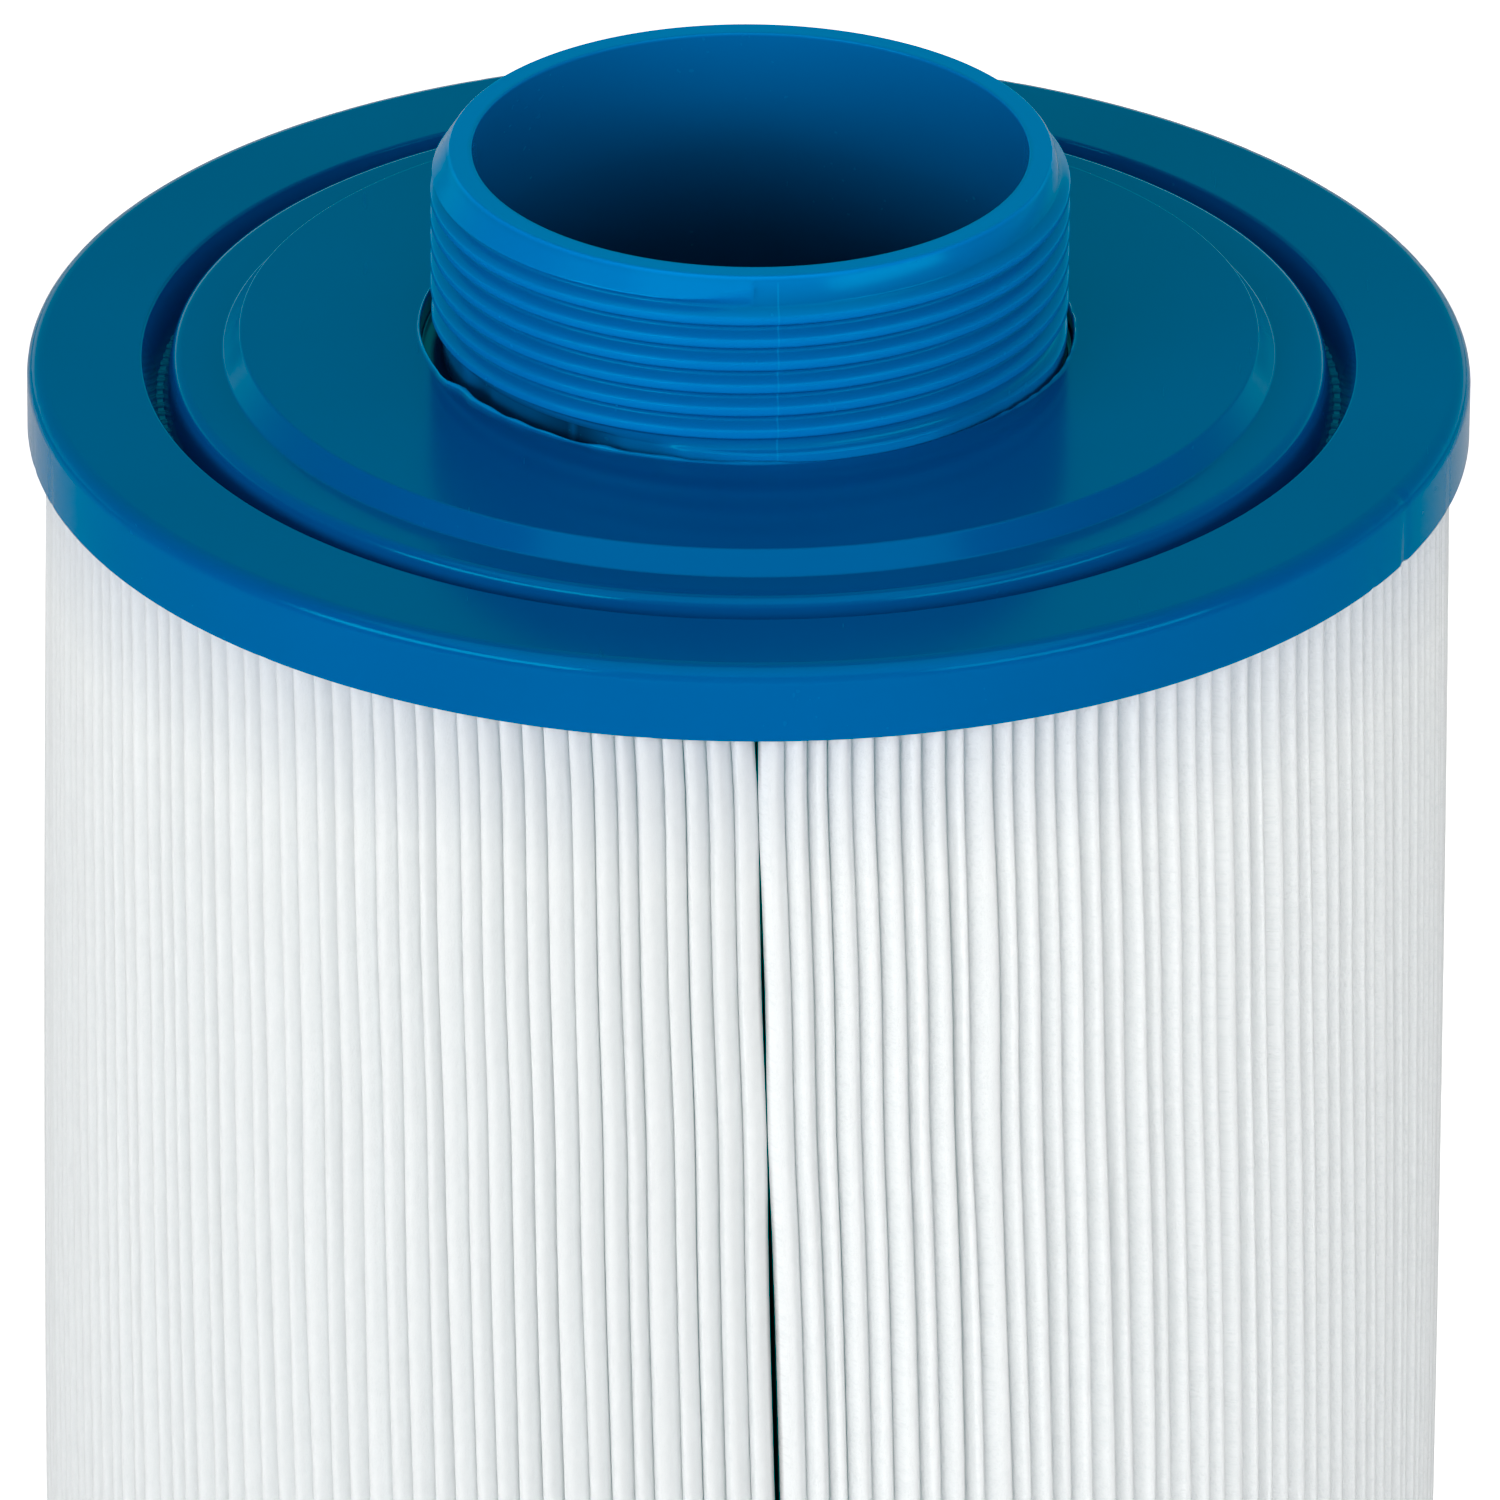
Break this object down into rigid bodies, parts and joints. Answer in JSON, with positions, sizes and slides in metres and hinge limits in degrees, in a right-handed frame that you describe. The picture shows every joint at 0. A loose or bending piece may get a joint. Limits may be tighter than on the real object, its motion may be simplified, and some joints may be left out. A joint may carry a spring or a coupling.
{
  "type": "threaded filter cartridge",
  "caption": "Round pleated filter cartridge with two cast end caps, a perforated core and a male-threaded outlet nozzle on one end.",
  "frame": {"origin": "on the cartridge's axis, in the plane that the closed end rests on", "axes": "+Z along the axis from the closed end to the threaded nozzle; -Y towards the side seam of the media"},
  "size_m": [0.135, 0.135, 0.2556],
  "materials": {
    "nozzle_plastic": "satin injection-moulded blue plastic",
    "cast_cap": "glossy cast blue polyurethane",
    "core_plastic": "plain white moulded plastic",
    "filter_media": "white spunbond polyester",
    "seam_adhesive": "off-white hot-melt adhesive"
  },
  "bodies": {
    "root": {"threaded_nozzle": "nozzle_plastic", "nozzle_end_cap": "cast_cap", "closed_end_cap": "cast_cap", "centre_core": "core_plastic", "pleated_media": "filter_media", "media_seam_bead": "seam_adhesive"}
  },
  "joints": []
}
